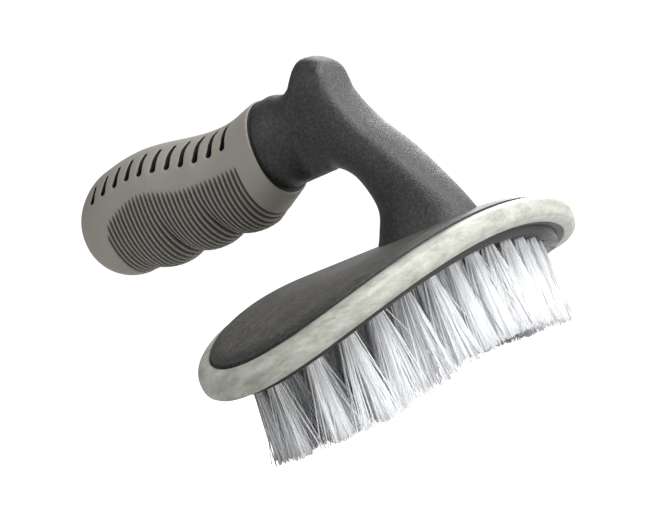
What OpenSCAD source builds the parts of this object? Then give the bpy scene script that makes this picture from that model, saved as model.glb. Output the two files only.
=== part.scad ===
// Wheel brush: an arched oval head stands on its bristles, and a short neck carries a
// level grip that points rearwards, across the middle of the head.
// X runs along the head, the grip points to +Y, Z is up. The origin is on the floor under
// the middle of the brush's box. Lengths are in millimetres.

/* [Head] */
// Length of the head over its bumper
head_l = 206; // [180:1:230]
// Width of the head over its bumper
head_w = 92; // [84:1:100]
// Radius of the arch along the head
arch_r = 330; // [280:5:500]
// Height of the middle of the bumper above the floor, at the head's centre
rim_z = 43.7; // [42:0.1:50]
// Height of the bumper where it meets the cover
rim_h = 8.5; // [7:0.1:9]
// Depth of the bumper, from the cover out to its nose
rim_d = 6; // [5:0.1:6.5]
// Height of the cover's wall above the bumper
wall_h = 2; // [1.5:0.1:3]

/* [Bristle block] */
// Thickness of the block
block_t = 8; // [7.5:0.1:8.5]
// How far the block stands below the bumper
block_drop = 2.5; // [2:0.1:3]
// Diameter of a tuft hole
hole_d = 5; // [4:0.1:5.2]
// Depth of a tuft hole
hole_depth = 6.8; // [6:0.1:7]
// Diameter of a tuft at its tips
tuft_tip_d = 8.2; // [7:0.1:8.4]
// How much higher the tips stand at the head's centre than at its ends
tip_arch = 6.5; // [0:0.5:8]
// Half-length of the stretch over which the tips rise
tip_arch_x = 62; // [50:1:70]

/* [Handle] */
// Height of the grip's axis above the middle of the bumper
grip_z = 47.2; // [46:0.1:49]
// Diameter of the core inside the grip
core_d = 24; // [20:1:25]
// Width of the grip at its middle
grip_w = 35; // [32:1:36]
// Distance from the head's centre back to the butt of the grip
butt_y = 111.2; // [110:0.2:116]
// Number of slots on each flank of the grip
slots = 11; // [6:1:11]
// Width of a slot
slot_w = 2; // [1:0.1:2.4]

/* [Hidden] */

half_l = head_l / 2;
half_w = head_w / 2;
origin_y = (butt_y - half_w) / 2;      // the head's centre lies this far in front of the origin
sides = 72;                            // straight facets round the oval head
turn = 360 / sides;
pocket_in = 9;                         // inset of the pocket that takes the block
block_gap = 0.1;                       // clearance round the block
bevel = 1.9;                           // bevel round the cover's top edge
block_top = block_t - block_drop - rim_h / 2;
face_z = -rim_h / 2 - block_drop;      // underside of the block, against the rim's middle
staple = [5.8, 0.4, 1.8];              // anchor wire: length, thickness, height
root_gap = 0.1;                        // clearance round a tuft in its hole

// One row of tufts: half-length, half-width, how many tufts, and where the first one stands
outer_row = [85, 30, 28, 0];
second_row = [73, 20.2, 24, 0.5];
third_row = [62, 10.2, 18, 0];
centre_pitch = 14;
centre_half = 3;                       // tufts on each side of the middle one

// Screws that hold the block, between the tufts of the centre row
screw_x = [-35, -7, 7, 35];
screw_d = 3;
screw_head = [6.2, 2.2];               // diameter and height
screw_l = 10;
screw_hole_d = 3.4;
screw_seat = 3;                        // depth of the head's seat above the block's face

// Height of the arch at a distance x along the head
function arch(x) = sqrt(arch_r * arch_r - x * x) - arch_r;

// One point of the head's oval, inset from the bumper's nose and at a height above the rim
function oval(t, inset, z) = let (x = (half_l - inset) * cos(t))
    [x, (half_w - inset) * sin(t), arch(x) + z];
function oval_ring(inset, z) = [for (i = [0 : sides - 1]) oval(i * turn, inset, z)];

// Arc length round an ellipse, as a table that lookup() turns into an angle
function ellipse_steps(a, b) = [for (i = [0 : 359])
    norm([a * (cos(i + 1) - cos(i)), b * (sin(i + 1) - sin(i))])];
function running(v, i = 0, s = 0) = i == len(v) ? [[s, i]]
    : concat([[s, i]], running(v, i + 1, s + v[i]));
function row_places(row) = let (table = running(ellipse_steps(row[0], row[1])),
        whole = table[360][0])
    [for (i = [0 : row[2] - 1]) let (t = lookup((i + row[3]) * whole / row[2], table))
        [row[0] * cos(t), row[1] * sin(t)]];
function centre_places() = [for (i = [-centre_half : centre_half]) [i * centre_pitch, 0]];

// Height of the tips above the floor
function tip_height(x) = abs(x) < tip_arch_x ? tip_arch * (1 - pow(x / tip_arch_x, 2)) : 0;

// A closed skin through rings that all have the same number of points. Where the skin
// is open at its ends it gets flat caps; a closed loop of rings gets none.
module loft(rings, closed = false) {
    n = len(rings[0]);
    m = len(rings);
    last = closed ? m - 1 : m - 2;
    walls = [for (j = [0 : last]) for (i = [0 : n - 1])
        let (a = j * n + i, b = j * n + (i + 1) % n, k = (j + 1) % m,
            c = k * n + (i + 1) % n, d = k * n + i)
        each [[a, c, b], [a, d, c]]];
    caps = closed ? [] : [[for (i = [0 : n - 1]) i], [for (i = [n - 1 : -1 : 0]) (m - 1) * n + i]];
    polyhedron(points = [for (r = rings) each r], faces = concat(walls, caps), convexity = 6);
}

// Everything on the head is drawn from its centre, at the middle of the bumper
module on_head() translate([0, -origin_y, rim_z]) children();

// A slab between two levels of the arch
module arch_slab(z0, z1) translate([0, 0, -arch_r]) rotate([90, 0, 0]) difference() {
    cylinder(r = arch_r + z1, h = head_w + 20, center = true, $fn = 360);
    cylinder(r = arch_r + z0, h = head_w + 40, center = true, $fn = 360);
}

// The head's oval cut from an arched slab
module oval_slab(inset, z0, z1) intersection() {
    arch_slab(z0, z1);
    translate([0, 0, -60]) linear_extrude(90)
        polygon([for (p = oval_ring(inset, 0)) [p[0], p[1]]]);
}

module head_cover() color([0.17, 0.17, 0.17]) on_head() difference() {
    union() {
        oval_slab(rim_d, -rim_h / 2, rim_h / 2 + wall_h / 2);
        oval_slab(rim_d + bevel / 2, rim_h / 2 - 1, rim_h / 2 + wall_h * 3 / 4);
        oval_slab(rim_d + bevel, rim_h / 2 - 1, rim_h / 2 + wall_h);
    }
    oval_slab(pocket_in, -rim_h, block_top);
    for (x = screw_x) translate([x, 0, arch(x) + face_z + screw_seat])
        cylinder(d = screw_d, h = screw_l - screw_head[1] + 0.3, $fn = 32);
}

// The bumper is a D on its side, swept round the cover's edge
nose_steps = 8;
module bumper_rim() {
    nose = [for (k = [0 : nose_steps]) let (a = -90 + k * 180 / nose_steps)
        [rim_d * (1 - pow(cos(a), 0.8)), rim_h / 2 * sin(a)]];
    color([0.77, 0.79, 0.73]) on_head()
        loft([for (i = [0 : sides - 1])
            [for (p = nose) oval(-i * turn, min(p[0], rim_d), p[1])]], closed = true);
}

ring_n = 32;                           // points round a section of the neck or the grip
collar_y = 22.9;
// Sections of the neck from the cover up, over the thumb rest and back to the collar. Each
// runs from a point on the inside of the bend to one on the outside: [inner y, inner z,
// outer y, outer z, half-width, how much narrower it is at the outside, and the power that
// sets how square its outer half is, where 2 gives an ellipse].
neck_sections = [
    [-0.5, 4, -37, 4, 18.5, 0, 2],           // foot, inside the cover
    [-3.5, 10, -35.5, 10, 15, 0, 2],         // top of the flare
    [-6.5, 18, -31.5, 18, 13, 0, 2.3],       // waist
    [-4, 29, -23.5, 32.5, 12.5, 0, 2.7],     // leaning back
    [1.5, 34.5, -14.5, 46.5, 12.5, 0.05, 3], // start of the bend
    [6.5, 35, -9.5, 58.5, 12.5, 0.1, 3.3],   // under the thumb rest
    [9.5, 35, -8, 68.5, 13, 0.12, 3.3],      // front of the thumb rest
    [12.5, 35, 0, 73, 12.5, 0.15, 3],        // its top
    [15.5, 35, 6, 67.5, 13, 0.1, 2.5],       // its rear
    [17, 35, 12, 65, 13.5, 0.05, 2.2],       // saddle
    [20, 35, 18, 66.5, 14, 0, 2],            // rise to the collar
    [collar_y, 35, collar_y, 66, 14.25, 0, 2]];
neck_steps = 2;                        // steps from one section to the next

// A smooth curve through the rows of a table, at a fractional row
function through(a, b, c, d, t) = (2 * b + (c - a) * t + (2 * a - 5 * b + 4 * c - d) * t * t
    + (3 * b - 3 * c + d - a) * t * t * t) / 2;
function section(v, at) = let (i = min(floor(at), len(v) - 2))
    through(v[max(i - 1, 0)], v[i], v[i + 1], v[min(i + 2, len(v) - 1)], at - i);

function to_power(v, p) = sign(v) * pow(abs(v), p);
function neck_ring(s) = [for (i = [0 : ring_n - 1])
    let (a = i * 360 / ring_n, p = cos(a) < 0 ? 2 / s[6] : 1, u = (1 - to_power(cos(a), p)) / 2)
    [-s[4] * to_power(sin(a), p) * (1 - s[5] * u), s[0] + (s[2] - s[0]) * u,
        s[1] + (s[3] - s[1]) * u]];

module neck() color([0.19, 0.19, 0.19]) on_head() difference() {
    loft([for (k = [0 : neck_steps * (len(neck_sections) - 1)])
        neck_ring(section(neck_sections, k / neck_steps))]);
    arch_slab(-30, rim_h / 2 + wall_h);
}

module handle_core() color([0.14, 0.14, 0.14]) on_head()
    translate([0, collar_y, grip_z]) rotate([-90, 0, 0])
        rotate_extrude($fn = 64) core_profile();

// Half the core's outline: a straight tube with a rounded rear end
core_l = butt_y - collar_y - 8;
core_round = 6;
module core_profile() intersection() {
    square([core_d / 2, core_l]);
    union() {
        square([core_d / 2, core_l - core_round]);
        square([core_d / 2 - core_round, core_l]);
        translate([core_d / 2 - core_round, core_l - core_round]) circle(core_round, $fn = 48);
    }
}

// Outline of the grip seen from the side: three bulges below part the fingers
bulge_y = [40.4, 58.7, 76.9];
function bulges(y) = 1 - pow(min([for (b = bulge_y) abs(y - b)]) / 9.2, 2);
function grip_low(y) = max(28.1 - 2.2 * max(0, bulges(y)), 33.6 - 0.55 * (y - collar_y));
function grip_high(y) = 63 + 3.6 * exp(-pow((y - 20) / 13, 2)) + 5.3 * exp(-pow((y - 77) / 24, 2));
// How far a place lies in a hollow between two bulges, where the underside is narrower
function hollow(y) = y > bulge_y[0] && y < bulge_y[2] ? min(1, 1 - bulges(y)) : 0;
// The grip's rear end closes in like the quarter of an ellipse
rear_round = 19;
function closing(y) = y < butt_y - rear_round ? 1
    : sqrt(max(0, 1 - pow((y - butt_y + rear_round) / rear_round, 2)));
function swell(y) = 15.6 + (grip_w / 2 - 15.6) * sin(180 * min(1, max(0, (y - 24) / 78)));
// Underside, top and half-width of the grip
function grip_size(y) = let (mid = grip_z - 0.4, c = closing(y))
    [mid - (mid - grip_low(y)) * c, mid + (grip_high(y) - mid) * c, swell(y) * c];
function grip_ring(y) = let (g = grip_size(y))
    [for (i = [0 : ring_n - 1]) let (a = i * 360 / ring_n,
            pinch = 1 - 0.3 * hollow(y) * pow(min(0, sin(a)), 2))
        [g[2] * cos(a) * pinch, y, (g[0] + g[1]) / 2 + (g[1] - g[0]) / 2 * sin(a)]];
grip_steps = concat([for (y = [collar_y : 1.4 : 29.9]) y], [for (y = [31.5 : 2.35 : 92]) y],
    [for (a = [10 : 7 : 87]) butt_y - rear_round * (1 - sin(a))]);

// Slots run up each flank, from a foot below the grip's top line to a head near the middle
slot_first = 35.2;                     // the front slot, behind the head's centre
slot_pitch = 5.95;
slot_drop = 7.8;                       // how far the feet lie below the grip's top line
slot_head_x = 5.3;                     // how far the front slot's head lies from the middle
slot_spread = 0.5;                     // how much further out each next head lies
slot_lean = 12;
// Place of a slot, then x and height above the grip's axis of its foot and of its head
function slot_ends(i) = let (y = slot_first + i * slot_pitch, g = grip_size(y),
        mid = (g[0] + g[1]) / 2, tall = (g[1] - g[0]) / 2, foot_z = g[1] - slot_drop,
        head_x = slot_head_x + i * slot_spread)
    [y, g[2] * sqrt(1 - pow((foot_z - mid) / tall, 2)), foot_z - grip_z,
        head_x, mid + tall * sqrt(1 - pow(head_x / g[2], 2)) - grip_z];
// A slot reaches in to the core between its foot and its head
module slot(side, ends) {
    foot = [side * ends[1], ends[2]];
    head = [side * ends[3], ends[4]];
    inner = core_d / 2 - 1;
    translate([0, ends[0], grip_z + foot[1]]) rotate([slot_lean, 0, 0]) translate([0, 0, -foot[1]])
        rotate([90, 0, 0]) linear_extrude(slot_w, center = true)
            polygon([foot * inner / norm(foot), foot * 1.5, head * 1.5, head * inner / norm(head)]);
}

module grip_sleeve() color([0.52, 0.51, 0.48]) on_head() difference() {
    loft([for (y = grip_steps) grip_ring(y)]);
    translate([0, collar_y - 1, grip_z]) rotate([-90, 0, 0]) cylinder(d = core_d, h = 9, $fn = 64);
    translate([0, collar_y, grip_z]) rotate([-90, 0, 0]) rotate_extrude($fn = 64) core_profile();
    for (i = [0 : slots - 1]) for (side = [-1, 1]) slot(side, slot_ends(i));
}

module bristle_block() color([0.16, 0.15, 0.16]) on_head() difference() {
    oval_slab(pocket_in + block_gap, face_z, block_top);
    for (p = all_places()) translate([p[0], p[1], arch(p[0]) + face_z - 3])
        cylinder(d = hole_d, h = hole_depth + 3, $fn = 32);
    for (x = screw_x) translate([x, 0, arch(x) + face_z - 3]) {
        cylinder(d = screw_head[0] + 0.4, h = 3 + screw_seat, $fn = 32);
        cylinder(d = screw_hole_d, h = 20, $fn = 32);
    }
}

function all_places() = concat(row_places(outer_row), row_places(second_row),
    row_places(third_row), centre_places());

module block_screws() color([0.7, 0.7, 0.72]) on_head() for (x = screw_x)
    translate([x, 0, arch(x) + face_z + screw_seat - screw_head[1]]) {
        cylinder(d = screw_head[0], h = screw_head[1], $fn = 32);
        cylinder(d = screw_d - 0.1, h = screw_l, $fn = 32);
    }

// A tuft: a straight root in its hole, then a fan that widens to the tips
module tuft(x) {
    floor_z = tip_height(x) - rim_z;
    face = arch(x) + face_z;
    root = face + hole_depth - staple[2];
    rotate_extrude($fn = 32) polygon([[0, floor_z], [tuft_tip_d / 2, floor_z],
        [hole_d / 2 - root_gap, face - 1], [hole_d / 2 - root_gap, root], [0, root]]);
}

module tufts(places) color([0.9, 0.9, 0.93]) on_head()
    for (p = places) translate([p[0], p[1], 0]) tuft(p[0]);

module tufts_outer_row() tufts(row_places(outer_row));
module tufts_second_row() tufts(row_places(second_row));
module tufts_third_row() tufts(row_places(third_row));
module tufts_centre_row() tufts(centre_places());

// The wire that anchors each tuft lies across the blind end of its hole
module staples(places) color([0.75, 0.75, 0.76]) on_head() for (p = places)
    translate([p[0] - staple[0] / 2, p[1] - staple[1] / 2,
        arch(p[0]) + face_z + hole_depth - staple[2]]) cube(staple);

module staples_outer_row() staples(row_places(outer_row));
module staples_second_row() staples(row_places(second_row));
module staples_third_row() staples(row_places(third_row));
module staples_centre_row() staples(centre_places());

head_cover();
bumper_rim();
neck();
handle_core();
grip_sleeve();
bristle_block();
block_screws();
tufts_outer_row();
tufts_second_row();
tufts_third_row();
tufts_centre_row();
staples_outer_row();
staples_second_row();
staples_third_row();
staples_centre_row();
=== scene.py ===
"""Looks of the wheel brush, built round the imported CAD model.

Shapes are worked out in millimetres from the head's centre, at the middle of the bumper,
with the grip pointing to +Y. solid() turns them into metres in the model's own frame.
"""
import math

import bmesh
import bpy
import numpy as np
from mathutils import Matrix, Vector


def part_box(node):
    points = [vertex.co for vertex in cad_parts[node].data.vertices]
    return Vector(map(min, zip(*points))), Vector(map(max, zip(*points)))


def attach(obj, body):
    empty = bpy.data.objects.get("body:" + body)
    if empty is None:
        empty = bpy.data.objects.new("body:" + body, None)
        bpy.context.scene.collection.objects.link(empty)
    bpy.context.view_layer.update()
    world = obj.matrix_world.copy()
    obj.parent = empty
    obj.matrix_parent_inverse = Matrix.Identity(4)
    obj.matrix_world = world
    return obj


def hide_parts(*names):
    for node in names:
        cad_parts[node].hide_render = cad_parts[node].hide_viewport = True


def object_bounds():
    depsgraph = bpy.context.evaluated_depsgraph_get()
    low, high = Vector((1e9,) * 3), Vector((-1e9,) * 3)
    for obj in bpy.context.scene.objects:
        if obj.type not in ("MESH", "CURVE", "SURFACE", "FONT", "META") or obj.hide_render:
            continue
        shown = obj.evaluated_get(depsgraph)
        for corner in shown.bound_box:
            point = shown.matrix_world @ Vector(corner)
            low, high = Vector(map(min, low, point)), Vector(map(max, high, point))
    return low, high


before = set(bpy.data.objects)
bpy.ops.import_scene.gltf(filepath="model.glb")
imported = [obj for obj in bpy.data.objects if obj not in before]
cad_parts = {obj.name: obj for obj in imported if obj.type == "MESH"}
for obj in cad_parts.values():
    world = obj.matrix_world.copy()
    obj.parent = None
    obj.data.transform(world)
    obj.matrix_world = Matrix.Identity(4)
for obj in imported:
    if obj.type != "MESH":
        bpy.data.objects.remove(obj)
cad_low, cad_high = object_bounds()

# ---------------------------------------------------------------- sizes, in millimetres
MM = 0.001
ARCH_R = 330.0          # radius of the arch along the head
RIM_H = 8.5             # height of the bumper where it meets the cover
RIM_D = 6.0             # depth of the bumper
WALL_H = 2.0            # the cover's wall above the bumper
COVER_SHORT = 0.4       # how much shorter the cover is than the bumper's inside, at each end
POCKET_IN = 9.0         # inset of the pocket that holds the block
BLOCK_T = 8.0
BLOCK_DROP = 2.5        # how far the block stands below the bumper
FACE_Z = -RIM_H / 2 - BLOCK_DROP
BLOCK_TOP = FACE_Z + BLOCK_T
HOLE_R = 2.5
HOLE_DEPTH = 6.8
TIP_ARCH = 6.5          # how much higher the tips stand at the centre than at the ends
TIP_ARCH_X = 62.0
COLLAR_Y = 22.9
GRIP_Z = 47.2           # the grip's axis above the middle of the bumper
CORE_R = 12.0

rim_low, rim_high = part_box("bumper_rim")
HALF_L = (rim_high.x - rim_low.x) / 2 / MM
HALF_W = (rim_high.y - rim_low.y) / 2 / MM
HEAD = Vector((0.0, (rim_high.y + rim_low.y) / 2, rim_high.z - RIM_H / 2 * MM))
BUTT_Y = (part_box("grip_sleeve")[1].y - HEAD.y) / MM
TIPS_Z = -HEAD.z / MM   # the floor, from the middle of the bumper


# ---------------------------------------------------------------- camera and light
MIDDLE = Vector((0.0, 0.0, 0.06))   # what the lamps face, in metres


def camera():
    """A long lens, level with the head and tilted, looking along it from its left end."""
    azimuth, roll = math.radians(-56.727), math.radians(-22.195)
    aim = Vector((0.0, HEAD.y + 0.02143, 0.05347))
    away = Vector((math.sin(azimuth), -math.cos(azimuth), -0.00097))
    data = bpy.data.cameras.new("camera")
    data.lens, data.sensor_width = 125.13, 36.0
    data.clip_end = 20.0
    ob = bpy.data.objects.new("camera", data)
    ob.rotation_mode = "QUATERNION"
    ob.location = aim + away * 0.7615
    turn = Matrix.Rotation(roll, 4, "Z").to_quaternion()
    ob.rotation_quaternion = (-away).to_track_quat("-Z", "Y") @ turn
    bpy.context.collection.objects.link(ob)
    bpy.context.scene.camera = ob


def softbox(name, place, size, power):
    """A rectangular area lamp that faces the middle of the brush."""
    data = bpy.data.lights.new(name, "AREA")
    data.shape, data.size, data.size_y, data.energy = "RECTANGLE", size[0], size[1], power
    ob = bpy.data.objects.new(name, data)
    ob.location = place
    ob.rotation_mode = "QUATERNION"
    ob.rotation_quaternion = (MIDDLE - Vector(place)).to_track_quat("-Z", "Y")
    bpy.context.collection.objects.link(ob)


def studio():
    """A white background, a weak even light from all round, and six softboxes."""
    world = bpy.data.worlds.new("studio")
    world.use_nodes = True
    tree = world.node_tree
    background = tree.nodes["Background"]
    background.inputs["Color"].default_value = (1.0, 1.0, 1.0, 1.0)
    background.inputs["Strength"].default_value = 0.32
    white = tree.nodes.new("ShaderNodeBackground")
    white.inputs["Color"].default_value = (1.0, 1.0, 1.0, 1.0)
    white.inputs["Strength"].default_value = 1.1
    path = tree.nodes.new("ShaderNodeLightPath")
    mix = tree.nodes.new("ShaderNodeMixShader")
    tree.links.new(path.outputs["Is Camera Ray"], mix.inputs["Fac"])
    tree.links.new(background.outputs[0], mix.inputs[1])
    tree.links.new(white.outputs[0], mix.inputs[2])
    tree.links.new(mix.outputs[0], tree.nodes["World Output"].inputs["Surface"])
    bpy.context.scene.world = world
    bpy.context.scene.view_settings.view_transform = "Standard"
    softbox("key", (0.22, -0.66, 0.62), (0.45, 0.45), 9.0)
    softbox("side", (0.60, -0.42, 0.27), (0.40, 0.40), 0.9)
    softbox("low", (0.35, -0.75, 0.08), (0.70, 0.22), 3.5)
    softbox("back", (0.80, 0.10, 0.44), (0.45, 0.45), 4.6)
    softbox("fill", (-0.75, 0.15, 0.70), (0.7, 0.7), 3.3)
    softbox("left", (-0.55, -0.55, 0.05), (0.5, 0.2), 0.6)


def floor():
    """A wide pale floor just under the tips."""
    mesh = bpy.data.meshes.new("floor")
    s = 6.0
    mesh.from_pydata([(-s, -s, 0), (s, -s, 0), (s, s, 0), (-s, s, 0)], [], [(0, 1, 2, 3)])
    ob = bpy.data.objects.new("floor", mesh)
    ob.location.z = cad_low.z - 0.0002
    bpy.context.collection.objects.link(ob)
    mat, nodes, links, surface = material("floor_white")
    surface.inputs["Base Color"].default_value = (0.75, 0.75, 0.75, 1.0)
    surface.inputs["Roughness"].default_value = 0.9
    surface.inputs["Emission Color"].default_value = (1.0, 1.0, 1.0, 1.0)
    seen = nodes.new("ShaderNodeLightPath")
    glow = nodes.new("ShaderNodeMath")
    glow.operation = "MULTIPLY"
    glow.inputs[1].default_value = 0.95
    links.new(seen.outputs["Is Camera Ray"], glow.inputs[0])
    links.new(glow.outputs[0], surface.inputs["Emission Strength"])
    grain = noise(nodes, links, 400.0, 3.0)
    bump(nodes, links, surface, grain, 0.05, 0.0002)
    mesh.materials.append(mat)


# ---------------------------------------------------------------- materials
def material(name):
    """A new material, its nodes and links, and its main shader."""
    mat = bpy.data.materials.new(name)
    mat.use_nodes = True
    nodes, links = mat.node_tree.nodes, mat.node_tree.links
    return mat, nodes, links, nodes["Principled BSDF"]


def place_of(nodes):
    """Object coordinates, in metres, from one shared node."""
    for node in nodes:
        if node.bl_idname == "ShaderNodeTexCoord":
            return node.outputs["Object"]
    return nodes.new("ShaderNodeTexCoord").outputs["Object"]


def noise(nodes, links, scale, detail=4.0, rough=0.55, stretch=None):
    """Noise with so many features per metre; stretch scales each axis."""
    tex = nodes.new("ShaderNodeTexNoise")
    tex.inputs["Scale"].default_value = scale
    tex.inputs["Detail"].default_value = detail
    tex.inputs["Roughness"].default_value = rough
    where = place_of(nodes)
    if stretch:
        mapping = nodes.new("ShaderNodeMapping")
        mapping.inputs["Scale"].default_value = stretch
        links.new(where, mapping.inputs["Vector"])
        where = mapping.outputs[0]
    links.new(where, tex.inputs["Vector"])
    return tex.outputs["Fac"]


def pits(nodes, links, scale):
    """Cells of a moulded leather grain."""
    tex = nodes.new("ShaderNodeTexVoronoi")
    tex.feature = "SMOOTH_F1"
    tex.inputs["Scale"].default_value = scale
    tex.inputs["Smoothness"].default_value = 0.6
    links.new(place_of(nodes), tex.inputs["Vector"])
    return tex.outputs["Distance"]


def ramp(nodes, links, value, stops):
    """A colour or grey that follows a value: stops are (position, colour)."""
    node = nodes.new("ShaderNodeValToRGB")
    while len(node.color_ramp.elements) < len(stops):
        node.color_ramp.elements.new(0.5)
    for element, (at, colour) in zip(node.color_ramp.elements, stops):
        element.position = at
        element.color = (*colour, 1.0)
    links.new(value, node.inputs["Fac"])
    return node.outputs["Color"]


def grey(value):
    """A grey as a colour."""
    return (value, value, value)


def mixed(nodes, links, a, b, factor, mode="MIX"):
    """Blends two colours; each input is a socket, a colour or a number."""
    node = nodes.new("ShaderNodeMix")
    node.data_type, node.blend_type = "RGBA", mode
    for socket, value in ((node.inputs[0], factor), (node.inputs[6], a), (node.inputs[7], b)):
        if isinstance(value, (int, float)):
            socket.default_value = value
        elif isinstance(value, tuple):
            socket.default_value = (*value, 1.0)
        else:
            links.new(value, socket)
    return node.outputs[2]


def bump(nodes, links, surface, height, strength, distance):
    """Adds a bump under whatever already drives the shader's normal."""
    node = nodes.new("ShaderNodeBump")
    node.inputs["Strength"].default_value = strength
    node.inputs["Distance"].default_value = distance
    links.new(height, node.inputs["Height"])
    normal = surface.inputs["Normal"]
    if normal.links:
        links.new(normal.links[0].from_socket, node.inputs["Normal"])
    links.new(node.outputs[0], normal)


def drawn_lines(nodes, links):
    """Fine dark lines that run along the cover, and stop where the neck begins."""
    height = nodes.new("ShaderNodeSeparateXYZ")
    links.new(place_of(nodes), height.inputs[0])
    fade = ramp(nodes, links, height.outputs["Z"], [(0.044, grey(0.0)), (0.05, grey(1.0))])
    lines = ramp(nodes, links, noise(nodes, links, 1300.0, 3.0, 0.6, (0.035, 0.8, 1.0)),
                 [(0.42, grey(0.65)), (0.54, grey(1.0))])
    return mixed(nodes, links, lines, (1.0, 1.0, 1.0), fade)


def black_plastic():
    """Grained plastic, mottled, with a little dust and a painted sheen on the faces that look up."""
    mat, nodes, links, surface = material("black_grained_plastic")
    haze = noise(nodes, links, 60.0, 6.0, 0.65)
    mottle = noise(nodes, links, 850.0, 4.0, 0.75)
    speck = noise(nodes, links, 2100.0, 3.0, 0.7)
    base = ramp(nodes, links, haze, [(0.3, (0.006, 0.006, 0.006)), (0.7, (0.013, 0.013, 0.0125))])
    cloud = ramp(nodes, links, mottle, [(0.44, grey(0.0)), (0.64, grey(0.8))])
    speckle = ramp(nodes, links, speck, [(0.5, grey(0.0)), (0.72, grey(0.6))])
    cloudy = mixed(nodes, links, base, (0.043, 0.044, 0.041), cloud)
    colour = mixed(nodes, links, cloudy, (0.07, 0.071, 0.066), speckle)
    facing = nodes.new("ShaderNodeSeparateXYZ")
    links.new(nodes.new("ShaderNodeNewGeometry").outputs["Normal"], facing.inputs[0])
    # Faces that look up get a lighter brownish grey in patches: partly real dust, partly a painted
    # sheen where the tops catch the light.
    settled = ramp(nodes, links, facing.outputs["Z"], [(0.84, grey(0.0)), (0.98, grey(0.42))])
    patchy = ramp(nodes, links, mottle, [(0.4, grey(0.55)), (0.62, grey(1.0))])
    wiped = ramp(nodes, links, noise(nodes, links, 300.0, 5.0, 0.6, (0.3, 1.0, 0.6)),
                 [(0.38, grey(0.6)), (0.6, grey(1.0))])
    patchy = mixed(nodes, links, patchy, wiped, 1.0, "MULTIPLY")
    dust_and_sheen = mixed(nodes, links, settled, patchy, 1.0, "MULTIPLY")
    dusty_sheened_colour = mixed(nodes, links, colour, (0.2, 0.188, 0.168), dust_and_sheen)
    links.new(mixed(nodes, links, dusty_sheened_colour, drawn_lines(nodes, links), 1.0, "MULTIPLY"),
              surface.inputs["Base Color"])
    links.new(ramp(nodes, links, haze, [(0.3, grey(0.46)), (0.7, grey(0.6))]),
              surface.inputs["Roughness"])
    surface.inputs["Specular IOR Level"].default_value = 0.45
    bump(nodes, links, surface, pits(nodes, links, 1900.0), 0.55, 0.00018)
    bump(nodes, links, surface, mottle, 0.45, 0.00016)
    return mat


def core_plastic():
    """Matt black plastic of the handle's core."""
    mat, nodes, links, surface = material("black_core_plastic")
    haze = noise(nodes, links, 90.0)
    links.new(ramp(nodes, links, haze, [(0.3, grey(0.008)), (0.7, grey(0.018))]),
              surface.inputs["Base Color"])
    surface.inputs["Roughness"].default_value = 0.6
    bump(nodes, links, surface, noise(nodes, links, 1200.0), 0.2, 0.0001)
    return mat


def block_plastic():
    """Plain black plastic, with painted light in patches towards the right end."""
    mat, nodes, links, surface = material("black_block_plastic")
    haze = noise(nodes, links, 60.0, 4.0)
    base = ramp(nodes, links, haze, [(0.3, (0.022, 0.02, 0.022)), (0.7, (0.042, 0.038, 0.042))])
    along = nodes.new("ShaderNodeSeparateXYZ")
    links.new(place_of(nodes), along.inputs[0])
    # A lighter grey in patches towards the right end: painted light standing in for the floor's
    # bounce there.
    end = ramp(nodes, links, along.outputs["X"], [(0.05, grey(0.0)), (0.088, grey(1.0))])
    patches = ramp(nodes, links, noise(nodes, links, 420.0, 4.0, 0.65),
                   [(0.36, grey(0.25)), (0.62, grey(0.95))])
    painted_end_light = mixed(nodes, links, end, patches, 1.0, "MULTIPLY")
    links.new(mixed(nodes, links, base, (0.34, 0.312, 0.31), painted_end_light), surface.inputs["Base Color"])
    links.new(ramp(nodes, links, haze, [(0.3, grey(0.6)), (0.7, grey(0.72))]),
              surface.inputs["Roughness"])
    surface.inputs["Specular IOR Level"].default_value = 0.3
    bump(nodes, links, surface, noise(nodes, links, 900.0), 0.15, 0.0001)
    return mat


def grip_rubber():
    """Warm grey rubber, with painted shade in the ribs' grooves and on the slots' walls."""
    mat, nodes, links, surface = material("warm_grey_soft_rubber")
    patches = noise(nodes, links, 35.0, 5.0, 0.6)
    fine = noise(nodes, links, 1800.0, 3.0, 0.7)
    base = ramp(nodes, links, patches,
                [(0.3, (0.242, 0.229, 0.197)), (0.7, (0.298, 0.284, 0.252))])
    lint = ramp(nodes, links, fine, [(0.6, grey(0.0)), (0.8, grey(0.22))])
    skin_colour = mixed(nodes, links, base, (0.42, 0.41, 0.38), lint)
    depth = nodes.new("ShaderNodeAttribute")
    depth.attribute_name = "depth"
    # The deeper a place lies below the skin, the closer to black it is painted: painted shade in the
    # grooves.
    painted_groove_shade = ramp(nodes, links, depth.outputs["Fac"],
                [(0.12, grey(0.0)), (0.55, grey(0.68)), (0.95, grey(0.9))])
    wall = nodes.new("ShaderNodeAttribute")
    wall.attribute_name = "wall"
    groove_shaded_colour = mixed(nodes, links, skin_colour, (0.012, 0.011, 0.010), painted_groove_shade)
    # Faces deeper than 1.2 mm, the slots' walls, are painted near-black in the core's colour:
    # painted shade.
    links.new(mixed(nodes, links, groove_shaded_colour, (0.012, 0.012, 0.012), wall.outputs["Fac"]),
              surface.inputs["Base Color"])
    links.new(ramp(nodes, links, patches, [(0.3, grey(0.62)), (0.7, grey(0.75))]),
              surface.inputs["Roughness"])
    surface.inputs["Specular IOR Level"].default_value = 0.35
    bump(nodes, links, surface, fine, 0.3, 0.00008)
    return mat


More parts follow.
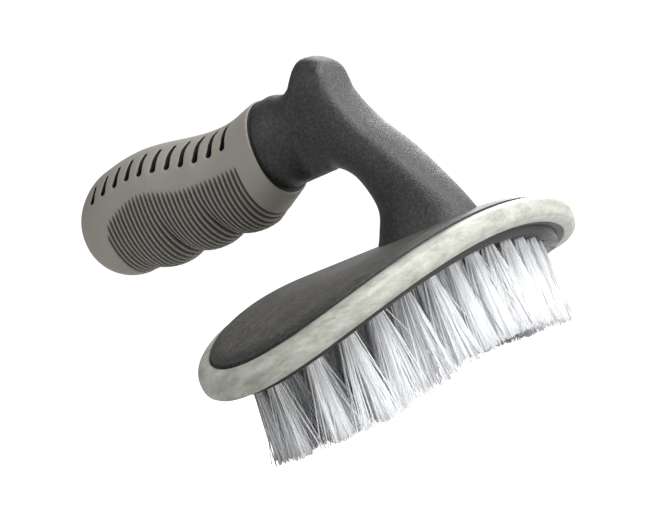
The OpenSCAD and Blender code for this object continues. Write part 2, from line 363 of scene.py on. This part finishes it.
def bumper_rubber():
    """Pale grey-green rubber, blotched and worn in streaks along the rim."""
    mat, nodes, links, surface = material("pale_green_grey_rubber")
    blotch = noise(nodes, links, 150.0, 7.0, 0.7, (0.8, 0.8, 1.8))
    streak = noise(nodes, links, 520.0, 5.0, 0.65, (0.2, 0.6, 1.6))
    base = ramp(nodes, links, blotch, [(0.30, (0.19, 0.195, 0.16)), (0.5, (0.32, 0.328, 0.285)),
                                       (0.70, (0.45, 0.455, 0.42))])
    worn = ramp(nodes, links, streak, [(0.5, grey(0.0)), (0.72, grey(0.45))])
    links.new(mixed(nodes, links, base, (0.46, 0.468, 0.42), worn), surface.inputs["Base Color"])
    links.new(ramp(nodes, links, blotch, [(0.3, grey(0.36)), (0.7, grey(0.56))]),
              surface.inputs["Roughness"])
    surface.inputs["Subsurface Weight"].default_value = 0.06
    surface.inputs["Subsurface Radius"].default_value = (0.002, 0.002, 0.0015)
    bump(nodes, links, surface, streak, 0.4, 0.0002)
    bump(nodes, links, surface, blotch, 0.3, 0.0004)
    return mat


def bristle_nylon():
    """Nylon that light passes through; each filament has its own tone, whose darker end is painted
    shade between the filaments.
    """
    mat, nodes, links, surface = material("white_nylon_filament")
    tone_and_painted_shade = nodes.new("ShaderNodeAttribute")
    tone_and_painted_shade.attribute_name = "tone_and_painted_shade"
    # Dark, slightly lilac tones stand in for the shade between filaments and locks: painted shade.
    colour = ramp(nodes, links, tone_and_painted_shade.outputs["Fac"],
                  [(0.0, (0.25, 0.252, 0.27)), (0.18, (0.56, 0.563, 0.59)),
                   (0.37, (0.83, 0.834, 0.843)), (1.0, (0.92, 0.927, 0.93))])
    links.new(colour, surface.inputs["Base Color"])
    links.new(ramp(nodes, links, noise(nodes, links, 700.0), [(0.3, grey(0.28)), (0.7, grey(0.42))]),
              surface.inputs["Roughness"])
    through = nodes.new("ShaderNodeBsdfTranslucent")
    links.new(colour, through.inputs["Color"])
    blend = nodes.new("ShaderNodeMixShader")
    blend.inputs["Fac"].default_value = 0.42
    links.new(surface.outputs[0], blend.inputs[1])
    links.new(through.outputs[0], blend.inputs[2])
    path = nodes.new("ShaderNodeLightPath")
    share = nodes.new("ShaderNodeMath")
    share.operation = "MULTIPLY"
    share.inputs[1].default_value = 0.88
    links.new(path.outputs["Is Shadow Ray"], share.inputs[0])
    clear = nodes.new("ShaderNodeBsdfTransparent")
    thin = nodes.new("ShaderNodeMixShader")
    links.new(share.outputs[0], thin.inputs["Fac"])
    links.new(blend.outputs[0], thin.inputs[1])
    links.new(clear.outputs[0], thin.inputs[2])
    links.new(thin.outputs[0], nodes["Material Output"].inputs["Surface"])
    return mat


def steel(name, tint):
    """Brushed steel of a given brightness."""
    mat, nodes, links, surface = material(name)
    brushed = noise(nodes, links, 900.0, 4.0, 0.6, (1.0, 1.0, 0.2))
    links.new(ramp(nodes, links, brushed, [(0.3, grey(tint * 0.8)), (0.7, grey(tint))]),
              surface.inputs["Base Color"])
    links.new(ramp(nodes, links, brushed, [(0.3, grey(0.28)), (0.7, grey(0.42))]),
              surface.inputs["Roughness"])
    surface.inputs["Metallic"].default_value = 1.0
    bump(nodes, links, surface, brushed, 0.15, 0.00005)
    return mat


# ---------------------------------------------------------------- mesh helpers
def solid(name, points, faces, mat, smooth=True):
    """A mesh object from points in millimetres from the head's centre."""
    mesh = bpy.data.meshes.new(name)
    places = np.asarray(points, float) * MM + np.array(HEAD)
    mesh.from_pydata(places.tolist(), [], faces)
    mesh.update()
    work = bmesh.new()
    work.from_mesh(mesh)
    bmesh.ops.recalc_face_normals(work, faces=work.faces)
    work.to_mesh(mesh)
    work.free()
    if smooth:
        mesh.shade_smooth()
    if mat:
        mesh.materials.append(mat)
    ob = bpy.data.objects.new(name, mesh)
    bpy.context.collection.objects.link(ob)
    return ob


def skin(rings, closed=False, capped=True):
    """Points and quads of a skin through rings with the same number of points."""
    rings = np.asarray(rings, float)
    m, n = rings.shape[:2]
    points = rings.reshape(-1, 3).tolist()
    faces = []
    for j in range(m if closed else m - 1):
        k = (j + 1) % m
        for i in range(n):
            h = (i + 1) % n
            faces.append((j * n + i, j * n + h, k * n + h, k * n + i))
    if not closed and capped:
        for j in (0, m - 1):
            hub = len(points)
            points.append(rings[j].mean(axis=0).tolist())
            faces += [(hub, j * n + i, j * n + (i + 1) % n) for i in range(n)]
    return points, faces


def cut(ob, cutter):
    """Takes the cutter's volume out of a piece, and removes the cutter."""
    step = ob.modifiers.new("cut", "BOOLEAN")
    step.operation, step.solver, step.object = "DIFFERENCE", "EXACT", cutter
    settled = bpy.data.meshes.new_from_object(
        ob.evaluated_get(bpy.context.evaluated_depsgraph_get()))
    ob.modifiers.clear()
    old = ob.data
    ob.data = settled
    bpy.data.meshes.remove(old)
    bpy.data.objects.remove(cutter)


def crisp(ob, degrees=35.0):
    """Smooth shading with sharp edges where faces meet at more than an angle."""
    ob.data.shade_smooth()
    ob.data.set_sharp_from_angle(angle=math.radians(degrees))


def joined(parts):
    """One list of points and faces from several."""
    points, faces = [], []
    for more_points, more_faces in parts:
        first = len(points)
        points += list(more_points)
        faces += [tuple(i + first for i in face) for face in more_faces]
    return points, faces


def prism(outline, low, high):
    """A prism from an outline of 3-D points, moved along two offsets."""
    outline = np.asarray(outline, float)
    return skin([outline + np.asarray(low, float), outline + np.asarray(high, float)])


def signed_power(value, power):
    """A power that keeps the sign, for outlines between a circle and a square."""
    return np.sign(value) * np.abs(value) ** power


def place(ob, slot, *nodes):
    """Fixes a piece to the brush's body and hides the CAD nodes that it replaces; the slot is not
    used.
    """
    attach(ob, "root")
    if nodes:
        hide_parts(*nodes)


# ---------------------------------------------------------------- the head
def arch(x):
    """Height of the arch at a distance along the head."""
    return np.sqrt(ARCH_R * ARCH_R - x * x) - ARCH_R


def oval(turn, inset, z, share=1.0, short=0.0):
    """Points on the head's oval, inset from the nose and shrunk towards the middle."""
    x = (HALF_L - inset - short) * np.cos(turn) * share
    y = (HALF_W - inset) * np.sin(turn) * share
    return np.stack([x, y, arch(x) + z], axis=-1)


AROUND = np.linspace(0.0, 2 * math.pi, 288, endpoint=False)


def head_cover():
    """The oval cover: two fine grooves, a wall, a rounded bevel, and a pocket below."""
    top = RIM_H / 2 + WALL_H
    wall = [(POCKET_IN, -RIM_H / 2), (RIM_D + 0.1, -RIM_H / 2), (RIM_D, -RIM_H / 2 + 0.3),
            (RIM_D, RIM_H / 2 - 0.7), (RIM_D + 0.35, RIM_H / 2 - 0.5)]
    rings = [oval(AROUND, inset, z) for inset, z in wall]
    wall = [(RIM_D + 0.35, RIM_H / 2 - 0.2), (RIM_D + 0.1, RIM_H / 2 - 0.15),
            (RIM_D + 0.1, RIM_H / 2 + 0.3), (RIM_D + 0.45, RIM_H / 2 + 0.36),
            (RIM_D + 0.45, RIM_H / 2 + 0.56), (RIM_D + 0.15, RIM_H / 2 + 0.62)]
    wall += [(RIM_D + 0.2, top - 1.24), (RIM_D + 0.35, top - 1.17)]
    wall += [(RIM_D + 0.6 + s * 5.4, top - 1.1 * (1 - s) ** 2) for s in np.linspace(0, 1, 10)]
    rings += [oval(AROUND, inset, z, 1.0, COVER_SHORT) for inset, z in wall]
    rings += [oval(AROUND, RIM_D + 6.0, top, s, COVER_SHORT)
              for s in np.linspace(1.0, 0.0, 20, endpoint=False)[1:]]
    pocket = [oval(AROUND, POCKET_IN, BLOCK_TOP, s) for s in np.linspace(0.04, 1.0, 14)]
    points, faces = skin(pocket + rings)
    ob = solid("head_cover_shell", points, faces, MATERIALS["black"])
    crisp(ob, 40.0)
    place(ob, "black_plastic", "head_cover")


def bumper():
    """The soft D that runs round the cover, with a lip where it meets the cover's wall."""
    profile = [(RIM_D, RIM_H / 2 - 0.75), (RIM_D - 0.25, RIM_H / 2 - 0.15)]
    for degrees in np.arange(90.0, -91.0, -4.5):
        a = math.radians(degrees)
        reach = abs(math.cos(a)) ** 0.62 - 0.055 * math.exp(-((degrees + 50) / 5) ** 2)
        profile.append((RIM_D - 0.45 - (RIM_D - 0.45) * max(0.0, reach),
                        RIM_H / 2 * signed_power(math.sin(a), 0.9)))
    profile += [(RIM_D - 0.2, -RIM_H / 2 + 0.1), (RIM_D, -RIM_H / 2 + 0.5)]
    turns = np.linspace(0.0, 2 * math.pi, 360, endpoint=False)
    rings = [[oval(t, inset, z) for inset, z in profile] for t in turns]
    points, faces = skin(rings, closed=True)
    ob = solid("bumper_ring", points, faces, MATERIALS["bumper"])
    place(ob, "bumper_rubber", "bumper_rim")


def ellipse_row(half_x, half_y, count, first):
    """Places spaced evenly round an ellipse."""
    t = np.radians(np.arange(361))
    x, y = half_x * np.cos(t), half_y * np.sin(t)
    run = np.concatenate([[0.0], np.cumsum(np.hypot(np.diff(x), np.diff(y)))])
    at = np.interp((np.arange(count) + first) * run[-1] / count, run, t)
    return np.stack([half_x * np.cos(at), half_y * np.sin(at)], axis=1)


ROWS = {
    "outer": ellipse_row(85.0, 30.0, 28, 0.0),
    "second": ellipse_row(73.0, 20.2, 24, 0.5),
    "third": ellipse_row(62.0, 10.2, 18, 0.0),
    "centre": np.array([(14.0 * i, 0.0) for i in range(-3, 4)]),
}
SCREW_X = (-35.0, -7.0, 7.0, 35.0)


def cylinder(x, y, radius, low, high):
    """An upright cylinder between two heights."""
    t = np.linspace(0.0, 2 * math.pi, 24, endpoint=False)
    ring = np.stack([x + radius * np.cos(t), y + radius * np.sin(t), np.zeros(24)], axis=1)
    return prism(ring, (0, 0, low), (0, 0, high))


def bristle_block():
    """The block under the cover, drilled for every tuft and screw."""
    chamfer = 0.6
    edge = POCKET_IN + 0.15
    lower = [oval(AROUND, edge + chamfer, FACE_Z, s) for s in np.linspace(0.04, 1.0, 18)]
    wall = [oval(AROUND, edge + chamfer * (1 - math.sin(a)), FACE_Z + chamfer * (1 - math.cos(a)))
            for a in np.radians([30, 60, 90])]
    upper = [oval(AROUND, edge, BLOCK_TOP - 0.05, s) for s in np.linspace(1.0, 0.04, 14)]
    points, faces = skin(lower + wall + upper)
    ob = solid("bristle_block_body", points, faces, MATERIALS["block"])
    drills = []
    for x, y in np.concatenate(list(ROWS.values())):
        face = arch(x) + FACE_Z
        drills.append(cylinder(x, y, HOLE_R, face - 3, face + HOLE_DEPTH))
    for x in SCREW_X:
        face = arch(x) + FACE_Z
        drills.append(cylinder(x, 0.0, 3.3, face - 3, face + 3.0))
    points, faces = joined(drills)
    cut(ob, solid("drills", points, faces, None, smooth=False))
    crisp(ob, 30.0)
    place(ob, "block_plastic", "bristle_block")


def block_screws():
    """Pan-headed screws with a cross recess, deep between the tufts."""
    parts = []
    for x in SCREW_X:
        seat = arch(x) + FACE_Z + 3.0
        head = [(0.2, -2.15), (1.6, -2.1), (2.5, -1.7), (3.0, -0.9), (3.05, -0.1), (3.0, 0.0),
                (1.45, 0.0), (1.45, 7.2), (1.0, 7.7), (0.1, 7.75)]
        rings = []
        for radius, z in head:
            t = np.linspace(0.0, 2 * math.pi, 32, endpoint=False)
            rings.append(np.stack([x + radius * np.cos(t), radius * np.sin(t),
                                   np.full(32, seat + z)], axis=1))
        parts.append(skin(rings))
    ob = solid("block_screw_set", *joined(parts), MATERIALS["screw"])
    slots = []
    for x in SCREW_X:
        low = arch(x) + FACE_Z + 0.4
        arm, half = 1.7, 0.35
        cross = [(arm, half), (half, half), (half, arm), (-half, arm), (-half, half), (-arm, half),
                 (-arm, -half), (-half, -half), (-half, -arm), (half, -arm), (half, -half),
                 (arm, -half)]
        slots.append(prism([(x + a, b, 0.0) for a, b in cross], (0, 0, low), (0, 0, low + 1.6)))
    cut(ob, solid("crosses", *joined(slots), None, smooth=False))
    crisp(ob, 30.0)
    place(ob, "screw_steel", "block_screws")


# ---------------------------------------------------------------- tufts
FILAMENTS = 92
FILAMENT_R = 0.2
LOCKS = 8               # clumps that a tuft parts into
STRAYS = 0.2            # share of the filaments that leave their clump
SPREAD = 6.2            # how far a tuft has fanned out at its tips
TRIM_RIGHT = 80.5       # half-axes of the outline that the tips keep to
TRIM_LEFT = 85.3
TRIM_SIDE = 34.5
STEPS = 7               # points along a filament
SIDES = 4               # corners round it


def tip_z(x):
    """Height of the trimmed tips at a distance along the head."""
    return TIPS_Z + TIP_ARCH * np.maximum(0.0, 1 - (x / TIP_ARCH_X) ** 2)


def held_in(root, tip, limit):
    """Pulls a tip back when it fans out beyond the brush's trimmed outline."""
    at = root + tip
    over = math.hypot(at[0] / (TRIM_RIGHT if at[0] > 0 else TRIM_LEFT), at[1] / TRIM_SIDE) / limit
    return tip - at * (1 - 1 / over) if over > 1 else tip


def fanned_tip(chance, place, lock, reach):
    """Where a filament's tip lies, sideways from its hole."""
    tip = np.array([math.cos(lock), math.sin(lock)]) * reach
    tip += chance.normal(0.0, 1.1, 2)
    if chance.random() < STRAYS:
        tip = chance.normal(0.0, (7.5, 3.5))
    return held_in(place, tip, chance.normal(1.0, 0.018))


def filament(chance, place, tip):
    """Rings of points along one filament, from inside its hole down to its tip."""
    along = np.linspace(0.0, 1.0, STEPS)
    corner = np.linspace(0.0, 2 * math.pi, SIDES, endpoint=False)
    root = tip / SPREAD + chance.normal(0.0, 0.4, 2)
    root /= max(1.0, float(np.hypot(*root)) / 1.55)
    end = tip_z(place[0] + tip[0]) + abs(chance.normal(0.0, 1.3)) + 0.05
    top = float(arch(place[0])) + FACE_Z + 4.6
    bend = chance.normal(0.0, 0.5, 2)
    fan = along ** chance.uniform(1.0, 1.35)
    line = np.empty((STEPS, 3))
    line[:, :2] = (place + root + np.outer(fan, tip - root)
                   + np.outer(np.sin(along * math.pi), bend))
    line[:, 2] = top + along * (end - top)
    twist = chance.uniform(0, math.pi)
    thick = FILAMENT_R * (1.08 - 0.25 * along)
    ring = np.zeros((STEPS, SIDES, 3))
    ring[:, :, 0] = np.outer(thick, np.cos(corner + twist))
    ring[:, :, 1] = np.outer(thick, np.sin(corner + twist))
    return (line[:, None, :] + ring).reshape(-1, 3)


def filament_faces():
    """The faces of one closed filament."""
    faces = []
    for j in range(STEPS - 1):
        for i in range(SIDES):
            h = (i + 1) % SIDES
            faces.append((j * SIDES + i, j * SIDES + h, (j + 1) * SIDES + h, (j + 1) * SIDES + i))
    faces.append(tuple(range(SIDES - 1, -1, -1)))
    faces.append(tuple(range((STEPS - 1) * SIDES, STEPS * SIDES)))
    return np.array(faces)


def filaments(name, places, seed):
    """Every filament of one row: a bundle in each hole that fans into loose locks."""
    chance = np.random.default_rng(seed)
    points, tones_and_painted_shade = [], []
    for at in places:
        locks = chance.uniform(0, 2 * math.pi, LOCKS)
        reach = np.sqrt(chance.uniform(0.02, 1.0, LOCKS)) * SPREAD
        shade = chance.uniform(0.0, 1.0, LOCKS)
        for _ in range(FILAMENTS):
            lock = chance.integers(LOCKS)
            tip = fanned_tip(chance, at, locks[lock], reach[lock])
            points.append(filament(chance, at, tip))
            # Each lock shares part of its tone, so whole locks carry painted shade between them.
            tones_and_painted_shade.append(0.45 * shade[lock] + 0.55 * chance.uniform(0.0, 1.0))
    per = STEPS * SIDES
    firsts = np.arange(len(points)) * per
    faces = (filament_faces()[None] + firsts[:, None, None]).reshape(-1, SIDES)
    mesh = bpy.data.meshes.new(name)
    places_m = np.concatenate(points) * MM + np.array(HEAD)
    mesh.from_pydata(places_m.tolist(), [], faces.tolist())
    mesh.shade_smooth()
    tone_and_painted_shade = mesh.attributes.new("tone_and_painted_shade", "FLOAT", "POINT")
    tone_and_painted_shade.data.foreach_set("value", np.repeat(tones_and_painted_shade, per).astype(np.float32))
    mesh.materials.append(MATERIALS["bristle"])
    mesh.update()
    ob = bpy.data.objects.new(name, mesh)
    bpy.context.collection.objects.link(ob)
    return ob


def tufts():
    """The four rows of tufts."""
    for seed, (row, places) in enumerate(ROWS.items()):
        ob = filaments(f"bristles_{row}_row", places, 11 + seed)
        place(ob, "bristle_nylon", f"tufts_{row}_row")


# ---------------------------------------------------------------- neck
# Sections from the cover up, over the thumb rest and back to the collar, as in the CAD
# model: inner y, inner z, outer y, outer z, half-width, how much narrower it is outside,
# and how square its outer half is (2 is an ellipse).
NECK = np.array([
    (-0.5, 4, -37, 4, 18.5, 0, 2),             # foot, inside the cover
    (-3.5, 10, -35.5, 10, 15, 0, 2),           # top of the flare
    (-6.5, 18, -31.5, 18, 13, 0, 2.3),         # waist
    (-4, 29, -23.5, 32.5, 12.5, 0, 2.7),       # leaning back
    (1.5, 34.5, -14.5, 46.5, 12.5, 0.05, 3),   # start of the bend
    (6.5, 35, -9.5, 58.5, 12.5, 0.1, 3.3),     # under the thumb rest
    (9.5, 35, -8, 68.5, 13, 0.12, 3.3),        # front of the thumb rest
    (12.5, 35, 0, 73, 12.5, 0.15, 3),          # its top
    (15.5, 35, 6, 67.5, 13, 0.1, 2.5),         # its rear
    (17, 35, 12, 65, 13.5, 0.05, 2.2),         # saddle
    (20, 35, 18, 66.5, 14, 0, 2),              # rise to the collar
    (COLLAR_Y, 35, COLLAR_Y, 66, 14.25, 0, 2)])


def between(table, at):
    """Values from a table of sections at fractional rows, by a Catmull-Rom spline."""
    i = np.clip(np.floor(at).astype(int), 0, len(table) - 2)
    t = (at - i)[:, None]
    a, b = table[np.clip(i - 1, 0, None)], table[i]
    c, d = table[i + 1], table[np.clip(i + 2, None, len(table) - 1)]
    return 0.5 * (2 * b + (c - a) * t + (2 * a - 5 * b + 4 * c - d) * t ** 2
                  + (3 * b - 3 * c + d - a) * t ** 3)


def neck():
    """A skin through smooth steps between the neck's sections."""
    turns = np.linspace(0.0, 2 * math.pi, 112, endpoint=False)
    rings = []
    for iy, iz, oy, oz, half, taper, square in between(NECK, np.linspace(0, len(NECK) - 1, 161)):
        power = np.where(np.cos(turns) < 0, 2 / square, 1.0)
        u = (1 - signed_power(np.cos(turns), power)) / 2
        x = -half * signed_power(np.sin(turns), power) * (1 - taper * u)
        rings.append(np.stack([x, iy + (oy - iy) * u, iz + (oz - iz) * u], axis=1))
    ob = solid("neck_moulding", *skin(rings), MATERIALS["black"])
    place(ob, "black_plastic", "neck")


# ---------------------------------------------------------------- grip
SLOTS = 11
SLOT_FROM = 35.2        # the front slot, behind the head's centre
SLOT_PITCH = 5.95
SLOT_DROP = 7.8         # how far the slots' feet lie below the grip's top line
SLOT_HEAD_X = 5.3       # how far the front slot's head lies from the middle
SLOT_SPREAD = 0.5       # how much further out each next head lies
SLOT_LEAN = 1.6         # how far a slot's head lies in front of its foot
SLOT_HEAD_R = 0.7
SLOT_FOOT_R = 1.2
RIBS = 34
RIB_FROM = 31.8
RIB_PITCH = 1.823
RIB_TO = RIB_FROM + RIB_PITCH * (RIBS - 1)
RIB_DEPTH = 0.75
BULGE_Y = (40.4, 58.7, 76.9)
REAR_ROUND = 19.0
GRIP_W = 35.0
GRIP_MID = GRIP_Z - 0.4


def grip_outline(y):
    """Underside, top and half-width of the grip at a distance behind the head's centre."""
    near = min(abs(y - b) for b in BULGE_Y)
    low = max(28.1 - 2.2 * max(0.0, 1 - (near / 9.2) ** 2), 33.6 - 0.55 * (y - COLLAR_Y))
    high = (63.0 + 3.6 * math.exp(-((y - 20) / 13) ** 2)
            + 5.3 * math.exp(-((y - 77) / 24) ** 2))
    half = 15.6 + (GRIP_W / 2 - 15.6) * math.sin(math.pi * min(1, max(0, (y - 24) / 78)))
    if y > BUTT_Y - REAR_ROUND:
        c = math.sqrt(max(0.0, 1 - ((y - BUTT_Y + REAR_ROUND) / REAR_ROUND) ** 2))
        low, high = GRIP_MID - (GRIP_MID - low) * c, GRIP_MID + (high - GRIP_MID) * c
        half *= c
    return low, high, half


def slot_lines():
    """Each slot of the +X flank: y of both ends, and the X and Z of its foot and head."""
    for i in range(SLOTS):
        y = SLOT_FROM + i * SLOT_PITCH
        low, high, half = grip_outline(y)
        mid, tall = (low + high) / 2, (high - low) / 2
        foot_z, head_x = high - SLOT_DROP, SLOT_HEAD_X + i * SLOT_SPREAD
        foot_x = half * math.sqrt(max(0.0, 1 - ((foot_z - mid) / tall) ** 2))
        head_z = mid + tall * math.sqrt(1 - (head_x / half) ** 2)
        yield y, y - SLOT_LEAN, np.array([foot_x, foot_z]), np.array([head_x, head_z])


def rib_edge(y):
    """Height of the edge of the ribbed patch: level, with a hump, and round at the rear."""
    hump = 48.8 + 5.3 * np.exp(-((y - 74) / 13) ** 2)
    rear = np.clip((y - 84) / 9.4, 0.0, 1.0)
    return 20 + (hump - 20) * (1 - rear ** 4) ** 0.25


def valley(y):
    """How far a place lies in a hollow between two of the bulges, from 0 to 1."""
    near = min(abs(y - b) for b in BULGE_Y)
    return min(1.0, (near / 9.2) ** 2) if BULGE_Y[0] < y < BULGE_Y[-1] else 0.0


def grip_skin():
    """The grip's outer skin, with its ribs and the soft edges of its slots pressed in."""
    step = RIB_PITCH / 8.5
    ys = [COLLAR_Y, COLLAR_Y + 0.12, COLLAR_Y + 0.4, COLLAR_Y + 0.8]
    ys += list(np.arange(COLLAR_Y + 1.2, BUTT_Y - REAR_ROUND, step))
    ys += [BUTT_Y - REAR_ROUND * (1 - math.sin(math.radians(a))) for a in np.arange(0.6, 90, 1.6)]
    turns = np.linspace(0.0, 2 * math.pi, 168, endpoint=False)
    rings = []
    for y in ys:
        low, high, half = grip_outline(y)
        lip = 0.5 * math.sqrt(min(1.0, (y - COLLAR_Y) / 0.6)) - 0.1
        lip *= max(0.0, 1 - (y - COLLAR_Y) / 9)
        mid, tall = (low + high) / 2, (high - low) / 2 + lip
        rise = signed_power(np.sin(turns), 0.94)
        pinch = 1 - 0.3 * valley(y) * np.minimum(0.0, rise) ** 2
        rings.append(np.stack([(half + lip) * signed_power(np.cos(turns), 0.94) * pinch,
                               np.full(168, y), mid + tall * rise], axis=1))
    grid = np.array(rings)
    centre = grid.mean(axis=1, keepdims=True)
    inward = centre - grid
    inward[:, :, 1] = 0.0
    inward /= np.linalg.norm(inward, axis=2, keepdims=True) + 1e-9
    x, y, z = grid[:, :, 0], grid[:, :, 1], grid[:, :, 2]
    # Ribs: grooves that start in a point along the edge of the ribbed patch.
    phase = (y - RIB_FROM) / RIB_PITCH
    off = np.abs(phase - np.round(phase)) * RIB_PITCH
    inside = np.clip((rib_edge(y) - z) / 2.4, 0.0, 1.0)
    ends = np.clip((y - RIB_FROM + 0.6) / 0.5, 0, 1) * np.clip((RIB_TO + 0.6 - y) / 0.5, 0, 1)
    groove = np.exp(-(off / (0.28 + 0.2 * inside)) ** 4) * RIB_DEPTH * inside ** 0.4 * ends
    # The plain skin around the ribs stands a little above their crests.
    sunk = 0.15 * np.clip((rib_edge(y) - z) / 0.9, 0.0, 1.0) * ends
    dip = np.zeros_like(x)
    for foot_y, head_y, foot, head in slot_lines():
        start, end = np.array([foot[0], foot_y, foot[1]]), np.array([head[0], head_y, head[1]])
        flank = np.stack([np.abs(x), y, z], axis=2) - start
        length = np.linalg.norm(end - start)
        along = (end - start) / length
        run = np.clip(flank @ along, 0.0, length)
        edge = (np.linalg.norm(flank - run[..., None] * along, axis=2)
                - (1.15 - 0.5 * run / length))
        dip = np.maximum(dip, 0.3 * np.exp(-(np.maximum(edge, 0.0) / 0.35) ** 2))
    return grid + inward * (groove + sunk + dip)[..., None]


def mark_depth(ob):
    """Stores how many millimetres below the sleeve's smooth skin each vertex lies."""
    places = np.empty(len(ob.data.vertices) * 3)
    ob.data.vertices.foreach_get("co", places)
    x, y, z = ((places.reshape(-1, 3) - np.array(HEAD)) / MM).T
    ys = np.linspace(COLLAR_Y, BUTT_Y - 0.05, 900)
    low, high, half, hollow = (np.interp(y, ys, column) for column in
                               np.array([(*grip_outline(v), valley(v)) for v in ys]).T)
    mid, tall = (low + high) / 2, (high - low) / 2
    rise = (z - mid) / tall
    width = half * (1 - 0.3 * hollow * np.minimum(0.0, rise) ** 2)
    reach = (np.abs(x / width) ** 2.13 + np.abs(rise) ** 2.13) ** (1 / 2.13)
    depth = (1 - reach) * np.hypot(width, tall) / math.sqrt(2)
    depth[y > BUTT_Y - 6] = 0.0
    # This depth drives the painted shade in the grip's grooves.
    store = ob.data.attributes.new("depth", "FLOAT", "POINT")
    store.data.foreach_set("value", np.clip(depth, 0.0, 1.0).astype(np.float32))
    # Faces deeper than 1.2 mm, the slots' walls, are flagged for painted shade.
    walls = ob.data.attributes.new("wall", "FLOAT", "FACE")
    deep = [float(max(depth[i] for i in face.vertices) > 1.2) for face in ob.data.polygons]
    walls.data.foreach_set("value", deep)


def slot_cutters():
    """Teardrops that reach from outside the sleeve down to the core, narrow end up."""
    parts = []
    for foot_y, head_y, foot, head in slot_lines():
        along = (head - foot) / np.linalg.norm(head - foot)
        outline = []
        for centre, y, radius, start in ((head, head_y, SLOT_HEAD_R, -90),
                                         (foot, foot_y, SLOT_FOOT_R, 90)):
            for k in range(13):
                a = math.radians(start + k * 15)
                flat = centre + along * radius * math.cos(a)
                outline.append((flat[0], y + radius * math.sin(a), flat[1]))
        outline = np.array(outline)
        spoke = outline - np.array([0, 0, GRIP_Z])
        spoke[:, 1] = 0.0
        reach = np.linalg.norm(spoke, axis=1, keepdims=True)
        for side in (-1, 1):
            inner = outline - spoke * (reach - CORE_R + 1.0) / reach
            outer = outline + spoke * 3.0 / reach
            parts.append(skin(np.array([inner, outer]) * np.array([side, 1, 1])))
    return parts


def grip():
    """The soft sleeve, bored for the core and cut through by its slots."""
    ob = solid("grip_soft_sleeve", *skin(grip_skin()), MATERIALS["grip"])
    turns = np.linspace(0.0, 2 * math.pi, 72, endpoint=False)
    bore = []
    for radius, y in ((CORE_R, COLLAR_Y - 1), (CORE_R, BUTT_Y - 14.0), (CORE_R - 1.8, BUTT_Y - 9.8),
                      (CORE_R - 6, BUTT_Y - 8)):
        bore.append(np.stack([radius * np.cos(turns), np.full(72, y),
                              GRIP_Z + radius * np.sin(turns)], axis=1))
    cut(ob, solid("bore", *skin(bore), None, smooth=False))
    cut(ob, solid("slots", *joined(slot_cutters()), None, smooth=False))
    mark_depth(ob)
    crisp(ob, 50.0)
    place(ob, "grip_rubber", "grip_sleeve")


# ---------------------------------------------------------------- build
MATERIALS = {
    "black": black_plastic(),
    "core": core_plastic(),
    "block": block_plastic(),
    "grip": grip_rubber(),
    "bumper": bumper_rubber(),
    "bristle": bristle_nylon(),
    "screw": steel("zinc_plated_steel", 0.62),
    "staple": steel("drawn_wire", 0.55),
}


def dress(node, key):
    """Gives a CAD node that stays in the picture its material."""
    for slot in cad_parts[node].material_slots:
        slot.material = MATERIALS[key]


camera()
studio()
floor()
head_cover()
bumper()
bristle_block()
block_screws()
tufts()
neck()
grip()
dress("handle_core", "core")
for row in ROWS:
    dress(f"staples_{row}_row", "staple")
